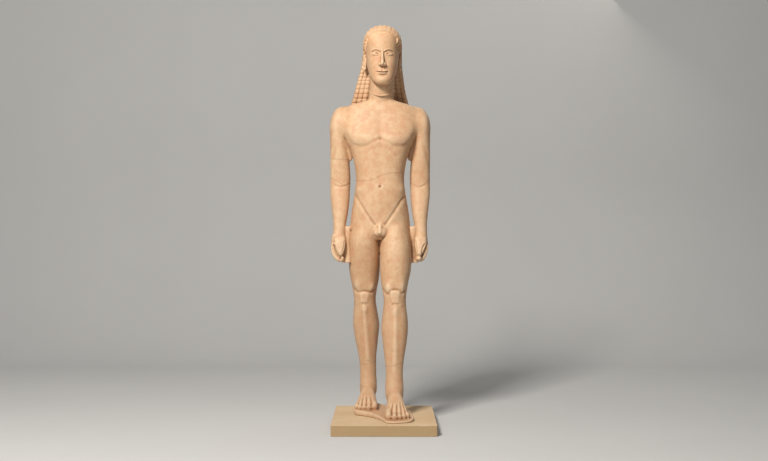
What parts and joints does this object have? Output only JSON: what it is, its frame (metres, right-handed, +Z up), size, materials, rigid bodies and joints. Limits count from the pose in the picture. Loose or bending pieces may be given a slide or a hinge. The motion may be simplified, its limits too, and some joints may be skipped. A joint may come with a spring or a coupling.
{
  "type": "kouros statue",
  "caption": "Standing marble youth in the archaic Greek manner, left foot forward, arms at his sides, on a thin carved foot block and a plain stone slab.",
  "frame": {"origin": "middle of the slab's underside", "axes": "+Z up, the figure looks along -Y and its left side is +X"},
  "size_m": [0.5341, 0.635, 2.0281],
  "materials": {
    "marble": "weathered fine-grained marble, warm beige with reddish patches",
    "slab_stone": "sawn buff limestone, matt"
  },
  "bodies": {
    "root": {"kouros": "marble", "slab": "slab_stone"}
  },
  "joints": []
}
